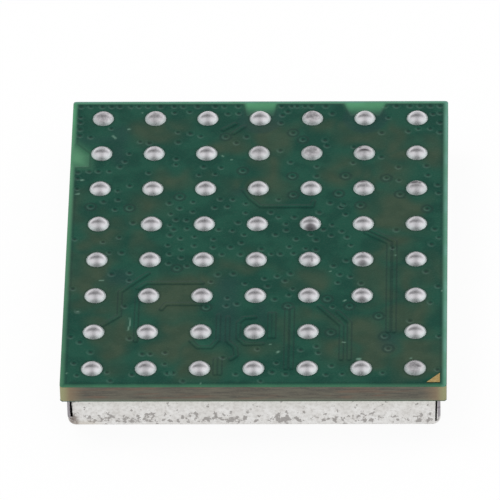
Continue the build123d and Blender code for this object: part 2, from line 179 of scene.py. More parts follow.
def makePiece(name, points, faceSets, material, slotName, replaced, attributes=None, flat=()):
    # A mesh in metres whose points lie where the shape says, riding on the one body of the part. Its
    # faces are shaded smooth, apart from those counted out as flat.
    mesh = bpy.data.meshes.new(name)
    faces = [face for faceSet in faceSets for face in faceSet.tolist()]
    mesh.from_pydata((points.reshape(-1, 3) * mm).tolist(), [], faces)
    smoothFaces = np.ones(len(mesh.polygons), bool)
    smoothFaces[list(flat)] = False
    mesh.polygons.foreach_set("use_smooth", smoothFaces)
    for key, values in (attributes or {}).items():
        layer = mesh.attributes.new(key, "FLOAT", "POINT")
        layer.data.foreach_set("value", np.asarray(values, np.float32).ravel())
    mesh.materials.append(material)
    mesh.update()
    piece = bpy.data.objects.new(name, mesh)
    bpy.context.scene.collection.objects.link(piece)
    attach(piece, "root")
    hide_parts(*replaced)
    print(name, len(mesh.polygons), "faces")


# Finishes
def tint(red, green, blue):
    # A colour as it reads on screen, from 0 to 255, turned into linear light
    shares = [channel / 255 for channel in (red, green, blue)]
    return tuple(s / 12.92 if s <= 0.04045 else ((s + 0.055) / 1.055) ** 2.4 for s in shares) + (1.0,)


class Graph:
    # An emptied node tree. Most methods add one node and give back the socket to read.
    def __init__(self, owner):
        owner.use_nodes = True
        self.tree = owner.node_tree
        self.tree.nodes.clear()

    def add(self, kind):
        return self.tree.nodes.new(kind)

    def feed(self, socket, value):
        if hasattr(value, "is_linked"):
            self.tree.links.new(value, socket)
        else:
            socket.default_value = value

    def maths(self, operation, first, second=0.0):
        node = self.add("ShaderNodeMath")
        node.operation = operation
        self.feed(node.inputs[0], first)
        self.feed(node.inputs[1], second)
        return node.outputs[0]

    def product(self, first, *others):
        for other in others:
            first = self.maths("MULTIPLY", first, other)
        return first

    def spread(self, value, low, high, start=0.0, end=1.0):
        # An S curve from start at low to end at high
        node = self.add("ShaderNodeMapRange")
        node.interpolation_type = "SMOOTHSTEP"
        self.feed(node.inputs["Value"], value)
        for key, number in (("From Min", low), ("From Max", high), ("To Min", start), ("To Max", end)):
            node.inputs[key].default_value = number
        return node.outputs["Result"]

    def ridge(self, value, rise, full, lessen, gone):
        # Zero up to rise, one from full to lessen, and zero again past gone
        return self.product(self.spread(value, rise, full), self.spread(value, lessen, gone, 1, 0))


class Finish(Graph):
    # A node material with its shader, which reads the point on the object
    def __init__(self, name):
        self.material = bpy.data.materials.new(name)
        super().__init__(self.material)
        self.shader = self.add("ShaderNodeBsdfPrincipled")
        self.feed(self.add("ShaderNodeOutputMaterial").inputs["Surface"], self.shader.outputs["BSDF"])
        self.where = self.add("ShaderNodeTexCoord").outputs["Object"]

    def attribute(self, name):
        node = self.add("ShaderNodeAttribute")
        node.attribute_name = name
        return node.outputs["Fac"]

    def axis(self, letter):
        # X, Y or Z of the point, in millimetres
        node = self.add("ShaderNodeSeparateXYZ")
        self.feed(node.inputs[0], self.where)
        return self.maths("MULTIPLY", node.outputs[letter], 1 / mm)

    def noise(self, size, detail=2.0, stretch=(1, 1, 1), seed=0, rough=0.5):
        # Noise whose blobs are about size millimetres, drawn out along an axis by stretch
        mapping = self.add("ShaderNodeMapping")
        self.feed(mapping.inputs["Vector"], self.where)
        mapping.inputs["Scale"].default_value = [1 / (mm * size * s) for s in stretch]
        mapping.inputs["Location"].default_value = (seed * 7.3, seed * 3.1, seed * 5.7)
        node = self.add("ShaderNodeTexNoise")
        self.feed(node.inputs["Vector"], mapping.outputs[0])
        for key, number in (("Scale", 1.0), ("Detail", detail), ("Roughness", rough)):
            node.inputs[key].default_value = number
        return node.outputs["Fac"]

    def blend(self, share, first, second):
        # A mix of two colours, each a socket or three numbers as tint takes them
        node = self.add("ShaderNodeMix")
        node.data_type = "RGBA"
        self.feed(node.inputs["Factor"], share)
        for socket, shade in ((node.inputs[6], first), (node.inputs[7], second)):
            self.feed(socket, tint(*shade) if isinstance(shade, tuple) else shade)
        return node.outputs[2]

    def layers(self, colour, *coats):
        # The colour under its coats, each a share, a shade, and how strong it is where that isn't one
        for share, shade, *strength in coats:
            colour = self.blend(self.product(share, *strength), colour, shade)
        return colour

    def bump(self, height, depth):
        # Relief whose height of one is depth millimetres
        node = self.add("ShaderNodeBump")
        node.inputs["Strength"].default_value = 1.0
        node.inputs["Distance"].default_value = depth * mm
        self.feed(node.inputs["Height"], height)
        self.feed(self.shader.inputs["Normal"], node.outputs[0])

    def look(self, colour, roughness, metallic=0.0):
        self.feed(self.shader.inputs["Base Color"], colour)
        self.feed(self.shader.inputs["Roughness"], roughness)
        self.shader.inputs["Metallic"].default_value = metallic
        return self.material


def grainy(name, dark, light, size, roughness, metallic=0.0, depth=0.0, stretch=(1, 1, 1)):
    # A finish that drifts between two colours in blobs, with a finer grain in its gloss and relief
    finish = Finish(name)
    drift = finish.spread(finish.noise(size, 3, stretch), 0.35, 0.65)
    grain = finish.noise(size / 6, 2, stretch, seed=3)
    if depth:
        finish.bump(grain, depth)
    gloss = finish.spread(grain, 0.3, 0.7, roughness - 0.07, roughness + 0.07)
    return finish.look(finish.blend(drift, dark, light), gloss, metallic)


# Camera, light and floor
cameraSettings = {"azimuth": 2.148, "elevation": 42.2568, "roll": -1.5648, "distance": 360.02,
                  "right": -0.2578, "up": -0.3125, "focal": 688.16, "sensor": 36, "clip": (0.01, 20)}
azimuth, elevation, roll = [math.radians(cameraSettings[key]) for key in ("azimuth", "elevation", "roll")]
outward = np.array([math.sin(azimuth) * math.cos(elevation), -math.cos(azimuth) * math.cos(elevation),
                    math.sin(elevation)])
level = np.array([math.cos(azimuth), math.sin(azimuth), 0])
upright = np.cross(outward, level)
rightward = math.cos(roll) * level + math.sin(roll) * upright
upward = math.cos(roll) * upright - math.sin(roll) * level
place = (outward * cameraSettings["distance"] + rightward * cameraSettings["right"]
         + upward * cameraSettings["up"] + np.array([0, gridY, maskTop])) * mm
cameraData = bpy.data.cameras.new("camera")
cameraData.lens = cameraSettings["focal"]
cameraData.sensor_width = cameraSettings["sensor"]
cameraData.clip_start, cameraData.clip_end = cameraSettings["clip"]
camera = bpy.data.objects.new("camera", cameraData)
pose = np.eye(4)
pose[:3, 0], pose[:3, 1], pose[:3, 2], pose[:3, 3] = rightward, upward, outward, place
camera.matrix_world = Matrix(pose.tolist())
bpy.context.scene.collection.objects.link(camera)
bpy.context.scene.camera = camera
bpy.context.scene.view_settings.view_transform = "Standard"

lightSettings = {"sky": 0.86, "sun": 0.62, "sunSpread": 30, "sunFrom": (-0.55, 0.35, 1.0)}
# The tent that shiny surfaces see: levels overhead and at the sides, the fall towards the front, and a
# dark bar that crosses overhead from side to side, at an angle from the horizon behind the part
tentSettings = {"overhead": 0.64, "side": 0.90, "drift": 0.10, "from": 0.05, "to": 0.6,
                "fallFrom": 0.34, "fallTo": 1.02, "fallen": 0.02,
                "bar": (33, 58, 66, 94), "barEnd": (0.6, 0.95), "barSag": 25, "barDepth": 0.72,
                "barFade": 0.42}


def studioWorld():
    # White all round for the camera, the tent for what shines, and an even sky for everything else
    world = bpy.data.worlds.new("studio")
    bpy.context.scene.world = world
    world.cycles.sampling_method = "NONE"  # so that each ray finds the sky meant for its kind
    graph = Graph(world)
    maths, spread, product = graph.maths, graph.spread, graph.product

    def between(share, off, on):
        return maths("ADD", product(share, on), product(maths("SUBTRACT", 1.0, share), off))

    split = graph.add("ShaderNodeSeparateXYZ")
    graph.feed(split.inputs[0], graph.add("ShaderNodeTexCoord").outputs["Generated"])
    x, y, z = split.outputs
    aside = maths("ABSOLUTE", x)
    t = tentSettings
    side = maths("ADD", product(x, t["drift"]), t["side"])
    level = between(spread(aside, t["from"], t["to"]), t["overhead"], side)
    fall = spread(product(y, -1.0), t["fallFrom"], t["fallTo"], 1, t["fallen"])
    angle = maths("ADD", maths("ARCTAN2", z, y), product(aside, aside, math.radians(t["barSag"])))
    bar = product(graph.ridge(angle, *np.radians(t["bar"])), spread(aside, *t["barEnd"], 1, 0))
    depth = maths("SUBTRACT", t["barDepth"], product(maths("MAXIMUM", x, 0.0), t["barFade"]))
    shade = product(level, fall, maths("SUBTRACT", 1.0, product(bar, depth)))
    rays = graph.add("ShaderNodeLightPath").outputs
    glossy = maths("MAXIMUM", rays["Is Glossy Ray"], rays["Is Transmission Ray"])
    seen = maths("MAXIMUM", rays["Is Camera Ray"], glossy)
    background = graph.add("ShaderNodeBackground")
    background.inputs["Color"].default_value = (1, 1, 1, 1)
    strength = between(seen, lightSettings["sky"], between(glossy, 1.0, shade))
    graph.feed(background.inputs["Strength"], strength)
    graph.feed(graph.add("ShaderNodeOutputWorld").inputs[0], background.outputs[0])


studioWorld()
sunData = bpy.data.lights.new("softSun", "SUN")
sunData.energy = lightSettings["sun"]
sunData.angle = math.radians(lightSettings["sunSpread"])
sun = bpy.data.objects.new("softSun", sunData)
aim = np.array(lightSettings["sunFrom"]) / np.linalg.norm(lightSettings["sunFrom"])
sun.rotation_euler = (math.acos(aim[2]), 0, math.atan2(aim[0], -aim[1]))
sun.visible_glossy = False
bpy.context.scene.collection.objects.link(sun)

floorSettings = {"half": 1.5, "drop": 0.00001, "paper": (251, 251, 251), "lift": 0.93}


def paperFloor():
    # Pale paper that keeps part of the shadow, and reads white to the camera and in reflections
    material = bpy.data.materials.new("paper")
    graph = Graph(material)
    diffuse = graph.add("ShaderNodeBsdfDiffuse")
    diffuse.inputs["Color"].default_value = tint(*floorSettings["paper"])
    white = graph.add("ShaderNodeEmission")
    white.inputs["Strength"].default_value = 1.0
    rays = graph.add("ShaderNodeLightPath").outputs
    seen = graph.maths("MAXIMUM", rays["Is Camera Ray"], rays["Is Glossy Ray"])
    seen = graph.maths("MAXIMUM", seen, rays["Is Transmission Ray"])
    mix = graph.add("ShaderNodeMixShader")
    shares = (graph.product(seen, floorSettings["lift"]), diffuse.outputs[0], white.outputs[0])
    for socket, value in zip(mix.inputs, shares):
        graph.feed(socket, value)
    graph.feed(graph.add("ShaderNodeOutputMaterial").inputs[0], mix.outputs[0])
    mesh = bpy.data.meshes.new("floor")
    h, z = floorSettings["half"], -floorSettings["drop"]
    mesh.from_pydata([(-h, -h, z), (h, -h, z), (h, h, z), (-h, h, z)], [], [(0, 1, 2, 3)])
    mesh.materials.append(material)
    floor = bpy.data.objects.new("floor", mesh)
    bpy.context.scene.collection.objects.link(floor)


paperFloor()
print("camera, light and floor")

# The laminate's rounded outline, which the mask shares, and the grain of its sawn edge
coreSettings = {"corner": 0.12, "least": 0.004, "perSide": 90, "perCorner": 6, "round": 0.02, "flat": 0.4,
                "levels": 20, "streak": 0.005, "step": 0.2, "drawn": 40, "pitches": (0.05, 0.045),
                "shares": (0.4, 0.6)}

# What the ball side shows. A back cut-out has its column, mouth and root, and the left one its mouth, root
# and depth. All three are carried on past the board's edge. The mask is pale over bare laminate, with painted
# light through the laminate that fades in from the edge: softly along the board's edges, more softly in the
# cut-outs, and less so at the inner end of the back ones.
copperSettings = {"side": 0.16, "front": 0.12, "back": 0.17, "landRadius": 0.47,
                  "rise": copperTop - laminateTop, "past": 1.0,
                  "backCuts": ((3, 1.2, 1.0), (5, 1.65, 1.1)), "backDepth": 0.85,
                  "leftCut": (1.45, 0.7, 0.68),
                  "edgeSoft": (-0.12, 0.07), "cutSoft": ((-0.18, 0.12), (-0.18, 0.14), (-0.42, 0.52)),
                  "palest": 0.15, "paleOver": (-0.85, -0.15)}


def cutOuts(x, y):
    # Signed distance inside each cut-out of the copper: two at the back edge, and one at the left
    s = copperSettings
    cuts = []
    far, floorY = halfLength + s["past"], halfLength - s["backDepth"]
    for column, mouth, root in s["backCuts"]:
        centre, wide = columnX[column], mouth / 2 + s["past"] * (mouth - root) / 2 / s["backDepth"]
        cuts.append(insidePolygon(x, y, [(centre - root / 2, floorY), (centre + root / 2, floorY),
                                         (centre + wide, far), (centre - wide, far)]))
    mouth, root, depth = s["leftCut"]
    left, floorX, low = -halfWidth - s["past"], -halfWidth + depth, rowY[1] - mouth / 2
    high = low + mouth + s["past"] * (mouth - root) / depth
    cuts.append(insidePolygon(x, y, [(left, low), (floorX, low), (floorX, low + root), (left, high)]))
    return cuts


def fieldDepth(x, y):
    # Signed distance inside the outer copper's rectangle
    s = copperSettings
    return np.minimum(np.minimum(halfWidth - s["side"] - np.abs(x), halfLength - s["back"] - y),
                      y + halfLength - s["front"])


def copperDepth(x, y):
    # Signed distance inside the outer copper: its rectangle, less three cut-outs, plus their lands
    depth = fieldDepth(x, y)
    lands = [(columnX[3], rowY[0]), (columnX[5], rowY[0]), (columnX[0], rowY[1])]
    for cut, (landX, landY) in zip(cutOuts(x, y), lands):
        depth = np.minimum(depth, -cut)
        depth = np.maximum(depth, copperSettings["landRadius"] - np.hypot(x - landX, y - landY))
    return depth


def bareAndBacklitShare(x, y):
    # How pale the mask is where no copper lies under it, with painted light through the laminate fading in
    # from the board's edges
    s = copperSettings
    share = 1 - smooth(fieldDepth(x, y), *s["edgeSoft"])
    # painted light: the paleness fades in from the back edge
    backlitFade = s["palest"] + (1 - s["palest"]) * smooth(y - halfLength, *s["paleOver"])
    for cut, soft, fade in zip(cutOuts(x, y), s["cutSoft"], (backlitFade, backlitFade, 1)):
        share = np.maximum(share, fade * smooth(cut, *soft))
    return share


# Plugged vias, listed: rows along the edges first, then the rest, roughly from the back to the front
backRow = [(x, 7.7) for x in (
    -6.87, -6.5, -6.05, -5.7, -5.38, -4.95, -4.65, -4.3, -3.83, -3.3, -2.95, -2.4, -1.73, -1.38, -0.85,
    0.8, 1.2, 1.4, 1.7, 1.95, 2.5, 4.77, 5.2, 5.72, 6.1, 6.5, 6.87)]
leftColumn = [(-6.87, y) for y in (7.1, 6.8, 6.4, 6.05, 3.95, 3.6, 3.0, 0.17)]
rightColumn = [(6.87, y) for y in (7.3, 6.75, 6.2)]
leftRow = [(x, 4.0) for x in (-6.45, -6.1, -5.68)]
vias = backRow + leftColumn + rightColumn + leftRow + [
    (-3.28, 7.35), (-2.7, 7.4), (-3.13, 6.22), (-2.65, 6.15), (-4.55, 5.68), (-3.1, 5.65), (-4.2, 5.6),
    (-5.68, 6.45), (-6.45, 5.95), (-4.95, 5.0), (-3.15, 4.7), (-3.15, 4.37), (-5.1, 4.55), (-5.28, 4.25),
    (-4.18, 3.9), (-1.23, 7.28), (-0.83, 7.3), (0.85, 7.2), (1.05, 7.4), (0.8, 6.75), (2.5, 5.75),
    (-0.5, 5.95), (-0.88, 5.6), (-2.25, 6.0), (0.8, 5.17), (1.2, 4.5), (2.2, 4.25), (-2.1, 4.25),
    (-1.43, 4.2), (2.75, 7.28), (4.9, 7.03), (6.6, 7.25), (4.65, 6.17), (5.67, 6.25), (6.05, 6.4),
    (6.5, 6.4), (2.57, 5.43), (4.65, 4.78), (3.6, 5.35), (3.58, 4.45), (5.3, 4.2), (6.37, 4.28),
    (-4.88, 3.18), (-5.33, 2.9), (-5.3, 2.38), (-5.85, 2.28), (-5.4, 1.83), (-3.35, 2.18), (-2.95, 1.9),
    (-2.45, 2.25), (-2.45, 1.7), (-3.28, 1.58), (-2.68, 1.23), (-3.08, 1.25), (-4.7, 1.08), (-3.3, 0.95),
    (-3.15, 0.7), (-2.65, 0.75), (-3.28, 0.38), (-2.88, 0.2), (-5.2, 0.25), (-5.8, 0.0), (-2.27, 3.78),
    (-1.65, 3.83), (2.2, 3.7), (-1.43, 2.4), (-0.95, 2.38), (-0.45, 2.15), (-1.63, 1.93), (-1.15, 1.98),
    (0.78, 2.38), (-0.45, 1.63), (0.5, 1.65), (0.8, 1.38), (1.4, 1.38), (2.33, 1.65), (-0.73, 1.08),
    (1.08, 1.0), (1.1, 0.65), (-1.45, 0.7), (-0.93, 0.63), (-2.35, 0.3), (-1.63, 0.15), (-0.48, 0.4),
    (-0.58, -0.05), (0.7, 0.4), (1.48, 0.15), (2.03, 0.4), (2.5, 0.7), (2.23, 0.1), (5.33, 3.45),
    (6.43, 3.75), (6.8, 3.2), (6.83, 2.73), (2.73, 2.18), (3.25, 2.1), (3.15, 1.95), (3.33, 1.53),
    (2.83, 0.95), (5.25, 0.65), (6.7, 0.7), (2.8, 0.35), (3.2, 0.58), (3.4, 0.25), (6.85, 0.23),
    (-3.35, -0.18), (-5.55, -0.6), (-5.08, -0.6), (-3.28, -0.68), (-2.83, -0.4), (-2.83, -0.88),
    (-3.3, -1.2), (-2.6, -1.35), (-5.43, -1.8), (-4.75, -1.73), (-4.75, -2.15), (-6.85, -2.6),
    (-4.88, -3.58), (-6.63, -3.85), (-2.35, -0.2), (-1.63, -0.3), (-1.3, -0.7), (-0.98, -0.3),
    (-0.6, -0.7), (0.18, -0.4), (0.55, -0.68), (0.9, -0.68), (1.23, -0.28), (1.4, -0.65), (1.85, -0.38),
    (2.23, -0.45), (-1.43, -1.83), (-0.85, -1.78), (-1.68, -2.23), (-0.4, -2.33), (0.33, -2.05),
    (0.8, -1.93), (1.3, -1.78), (1.1, -2.18), (0.45, -2.48), (1.4, -2.63), (1.25, -2.98),
    (-1.05, -3.13), (0.73, -3.2), (-0.68, -3.45), (-1.08, -3.55), (3.55, -0.2), (2.9, -1.35),
    (3.55, -1.95), (3.15, -1.83), (3.08, -2.28), (3.95, -2.33), (3.38, -1.05), (6.38, -1.68),
    (6.58, -0.15), (5.13, -0.38), (6.83, -2.5), (2.9, -3.63), (6.55, -3.4), (-6.85, -5.25),
    (-6.5, -5.55), (-6.08, -6.1), (-3.3, -6.13), (-4.15, -6.2), (-3.85, -6.2), (-3.3, -6.75),
    (-4.65, -5.35), (-6.68, -6.7), (-6.55, -7.35), (-5.43, -7.2), (-4.5, -7.33), (-5.3, -7.65),
    (-3.18, -7.25), (-2.98, -7.23), (-2.6, -7.68), (-1.15, -6.4), (0.13, -5.95), (1.75, -5.98),
    (0.85, -6.7), (-0.65, -7.3), (0.7, -7.2), (1.2, -7.3), (0.28, -7.68), (2.33, -5.8), (2.4, -6.15),
    (5.8, -4.4), (6.88, -5.25), (2.9, -6.85), (2.7, -7.33), (3.3, -7.3), (4.8, -7.25), (6.83, -7.08)]
# Larger vias, each with a dark ring round it
ringedVias = [
    (1.27, 6.17), (1.65, 5.78), (-1.3, 5.95), (-0.61, 4.0), (-6.33, 1.98), (-4.85, 1.9), (-2.97, 2.53),
    (1.28, 3.7), (1.33, 2.63), (3.3, 3.7), (4.85, 3.58), (3.05, 2.7), (5.38, 2.65), (3.88, 2.03),
    (6.4, 1.83), (-2.98, -1.48), (-1.83, -3.65), (1.23, -3.6), (2.7, -3.2), (3.53, -3.6), (4.63, -4.15),
    (2.85, -5.05), (4.85, -5.25), (5.0, -5.93)]
viaPlaces = np.array(vias + ringedVias) + np.array([0, gridY])

# Traces of the outer copper, as broken lines
traces = [
    [(-0.55, 2.9), (-0.3, 2.45), (0.1, 1.98), (2.05, 1.98), (2.1, 2.25)], [(-1.4, 6.35), (-0.95, 6.7)],
    [(-1.0, 6.15), (-0.6, 6.55)], [(-4.4, -2.6), (-4.1, -2.3), (-2.0, -2.3)],
    [(-3.5, -3.75), (-3.35, -3.47), (-1.9, -3.47)],
    [(-4.05, -1.75), (-4.75, -2.45), (-5.07, -2.8), (-5.07, -4.1), (-5.7, -4.65)],
    [(-4.42, -3.1), (-4.42, -5.5)], [(4.1, 0.5), (4.98, -0.1), (4.98, -5.0)],
    [(4.3, 0.6), (5.2, 0.0), (5.2, -5.0)], [(2.4, -3.6), (3.2, -4.6), (3.25, -4.7), (3.25, -6.5)],
    [(3.1, -3.9), (3.55, -4.5), (3.55, -6.5)], [(1.2, -3.6), (1.2, -7.0)], [(1.4, -3.7), (1.4, -7.0)],
    [(0.57, -4.0), (0.57, -5.3)], [(0.72, -4.0), (0.72, -5.3)],
    [(-1.35, -4.1), (-1.35, -5.45), (-1.6, -5.85), (-2.1, -5.85), (-2.35, -5.5)],
    [(0.0, -4.2), (-0.4, -4.25), (-0.6, -4.5), (-0.6, -5.35), (-0.35, -5.68), (0.3, -5.65)],
    [(-1.0, -4.2), (-1.0, -5.5), (-0.7, -5.85), (-0.65, -6.3), (-0.85, -6.5)],
    [(-1.42, -6.5), (-1.42, -7.3)], [(-1.25, -6.5), (-1.25, -7.3)]]

# Where the mask reads olive, deep blue-green or bright green: x0, x1, y0, y1
olivePatches = [
    (-4.9, -3.4, 5.6, 6.6), (-3.3, -2.5, 6.3, 6.9), (-0.3, 1.0, 5.0, 6.7), (-0.1, 0.8, 2.2, 5.0),
    (1.5, 3.0, 6.1, 6.8), (3.0, 4.7, 5.5, 6.3), (4.6, 5.4, 4.9, 6.5), (5.0, 7.0, 4.4, 5.6),
    (-3.7, -2.5, 2.9, 4.0), (-4.7, -3.6, 1.4, 2.6), (-7.0, -6.6, 1.0, 2.8), (-6.5, -5.4, -0.1, 0.9),
    (-5.4, -5.0, 0.4, 1.5), (-4.6, -4.0, -0.6, 0.6), (-1.5, -0.6, 3.0, 3.5), (-1.6, -0.8, 5.2, 6.3),
    (2.4, 3.5, 3.4, 4.6), (4.6, 5.6, 3.4, 4.4), (4.6, 6.0, -0.9, 0.5), (5.3, 6.6, -4.9, -3.3),
    (2.5, 3.4, -6.6, -5.3), (4.3, 6.2, 0.8, 2.7), (4.4, 4.8, 2.7, 4.1), (3.5, 4.3, 3.5, 4.1),
    (-7.0, -5.6, -3.3, -0.5), (-3.9, -2.0, -4.0, -1.6), (-5.6, -5.1, -4.0, -2.4), (-2.4, -1.4, -2.6, -1.5),
    (-1.4, 0.6, -1.6, -1.1), (1.5, 2.6, -2.4, -1.5), (4.3, 4.95, -3.8, -0.4), (5.4, 6.2, -2.9, -1.5),
    (6.5, 7.0, -2.3, -1.2), (-5.9, -4.6, -6.9, -4.0), (-3.7, -2.4, -6.5, -4.0), (-2.9, -1.4, -7.9, -5.9),
    (-0.6, 0.5, -6.4, -5.7), (0.75, 1.1, -5.9, -4.0), (1.4, 2.6, -4.6, -4.0), (3.5, 5.2, -7.2, -4.5),
    (2.4, 3.0, -4.6, -3.9), (5.4, 7.0, -7.5, -5.4), (4.4, 5.5, -6.9, -6.3)]
deepPatches = [
    (-6.9, -5.2, 5.6, 5.95), (-5.6, -5.0, 5.6, 6.6), (-5.6, -5.1, 4.4, 5.5), (-1.0, -0.5, 2.6, 2.95),
    (-5.6, -4.6, -2.4, -1.6), (-1.5, -0.6, -5.6, -2.0), (0.1, 0.5, -4.6, -3.3), (4.65, 5.35, -6.0, -5.0)]
brightPatches = [(-2.1, -1.6, -5.75, -5.4)]
deepRings = [(4.0, 7.0), (0.0, 7.0)]

# Pale specks and nicks in the mask, as short lines with a half width
specks = [
    ([(-5.6, 6.02), (-5.5, 5.88)], 0.045), ([(-5.02, 6.4), (-4.98, 6.4)], 0.05),
    ([(-4.53, 7.36), (-4.52, 7.33)], 0.03), ([(-6.72, 3.5), (-6.68, 3.5)], 0.06),
    ([(-6.9, 2.7), (-6.8, 2.72)], 0.045), ([(-1.42, 4.88), (-1.35, 4.82)], 0.035),
    ([(-1.06, 4.65), (-1.04, 4.65)], 0.04), ([(-5.85, -2.15), (-5.71, -2.15)], 0.035),
    ([(-6.64, -3.85), (-6.62, -3.85)], 0.05), ([(-4.68, -4.2), (-4.66, -4.6), (-4.73, -4.93)], 0.028),
    ([(-6.94, -7.25), (-6.92, -7.25)], 0.04), ([(-1.95, -7.8), (-1.94, -7.8)], 0.035),
    ([(0.6, -5.68), (0.61, -5.68)], 0.04), ([(0.88, -6.12), (0.92, -6.08)], 0.06),
    ([(3.32, -3.3), (3.38, -3.26)], 0.04), ([(2.78, -1.65), (2.8, -1.65)], 0.035),
    ([(5.22, -0.8), (5.24, -0.8)], 0.04), ([(6.97, -2.75), (6.98, -2.75)], 0.04),
    ([(3.3, -5.58), (3.4, -5.58)], 0.03), ([(3.88, -6.5), (3.94, -6.5)], 0.08),
    ([(5.84, -6.45), (5.86, -6.45)], 0.04)]

maskSettings = {"cell": 0.0485, "traceWidth": 0.16, "traceRise": 0.020, "traceSlope": (-0.03, 0.03),
                "copperSlope": (-0.06, 0.03), "pitRadius": 0.13, "pitDepth": 0.044, "pitSlope": 0.04,
                "least": 0.003, "edgeRound": 0.008, "edgeWidth": 0.05, "wave": 0.0025,
                "wavePitch": (1.1, 0.35), "patchSoft": 0.58, "patchDrift": 0.50, "driftPitch": 0.7,
                "ringFade": (0.75, 0.95), "speckSoft": (0.4, 1.15), "markClear": 0.035, "markSlope": 0.045,
                "markSink": 0.006}
viaHighlightSettings = {"rise": (0.05, 0.09), "fall": (0.12, 0.17), "aim": (0.6, 0.8), "facing": (-0.4, 0.8)}


def viaHighlightShare(x, y):
    # Painted highlight round each via: a thin pale ring that fades towards its back right
    s = viaHighlightSettings
    share = np.zeros(x.shape)
    for viaX, viaY in vias + ringedVias:
        away = np.hypot(x - viaX, y - viaY)
        ring = smooth(away, *s["rise"]) * (1 - smooth(away, *s["fall"]))
        towards = (s["aim"][0] * (viaX - x) + s["aim"][1] * (viaY - y)) / np.maximum(away, 1e-6)
        share = np.maximum(share, ring * smooth(towards, *s["facing"]))
    return share


def maskTones(x, y):
    # The float layers that the mask's shader reads at each point: distances in mm, and shares of a tone
    s = maskSettings
    along = y - gridY
    driftX = x + s["patchDrift"] * 2 * (softNoise(x, y, s["driftPitch"], 11) - 0.5)
    driftY = along + s["patchDrift"] * 2 * (softNoise(x, y, s["driftPitch"], 12) - 0.5)
    deep = softBoxes(x, along, deepPatches, s["patchSoft"] / 2)
    for ringX, ringY in deepRings:
        deep = np.maximum(deep, 1 - smooth(np.hypot(x - ringX, along - ringY), *s["ringFade"]))
    traceEdge = np.full(x.shape, -1.0)
    for line in traces:
        traceEdge = np.maximum(traceEdge, s["traceWidth"] / 2 - lineDistance(x, along, line))
    pale = np.zeros(x.shape)
    least, most = s["speckSoft"]
    for line, half in specks:
        pale = np.maximum(pale, 1 - smooth(lineDistance(x, along, line), half * least, half * most))
    return {"copperDepth": copperDepth(x, y), "bareAndBacklit": bareAndBacklitShare(x, y), "viaHighlight": viaHighlightShare(x, along),
            "traceEdge": traceEdge, "viaNear": nearest(x, along, vias + ringedVias, 1.0),
            "ringNear": nearest(x, along, ringedVias, 1.0), "domeNear": nearest(x, y, domePlaces, 2.0),
            "olive": softBoxes(driftX, driftY, olivePatches, s["patchSoft"]), "deep": deep,
            "bright": softBoxes(driftX, driftY, brightPatches, s["patchSoft"]), "pale": pale}


def markDepth(x, y):
    # Signed distance inside the index mark's right-angled triangle, whose right angle is at front right
    corners = [(markLow[0], markLow[1]), (markHigh[0], markLow[1]), (markHigh[0], markHigh[1])]
    return insidePolygon(x, y, corners)


def maskHeight(x, y, tones):
    # Bare laminate plus the mask's thickness, raised over the copper and a little more along each trace,
    # lower in the index mark's opening and under each via's plug, and rounded down at the board's outline
    s = maskSettings
    z = laminateTop + (maskTop - copperTop)
    z = z + copperSettings["rise"] * smooth(tones["copperDepth"], *s["copperSlope"])
    z = z + s["traceRise"] * smooth(tones["traceEdge"], *s["traceSlope"])
    for share, pitch, seed in zip((1, 0.5), s["wavePitch"], (21, 22)):
        z = z + s["wave"] * share * (softNoise(x, y, pitch, seed) - 0.5)
    opening = smooth(markDepth(x, y), -s["markClear"] - s["markSlope"], -s["markClear"])
    z = z + (copperTop - s["markSink"] - z) * opening
    pit = s["pitDepth"] * (1 - smooth(tones["viaNear"], s["pitRadius"] - s["pitSlope"], s["pitRadius"]))
    z = np.maximum(z - pit, laminateTop + s["least"])
    toEdge = np.minimum(halfWidth - np.abs(x), halfLength - np.abs(y))
    return z - s["edgeRound"] * (1 - smooth(toEdge, 0, s["edgeWidth"]))


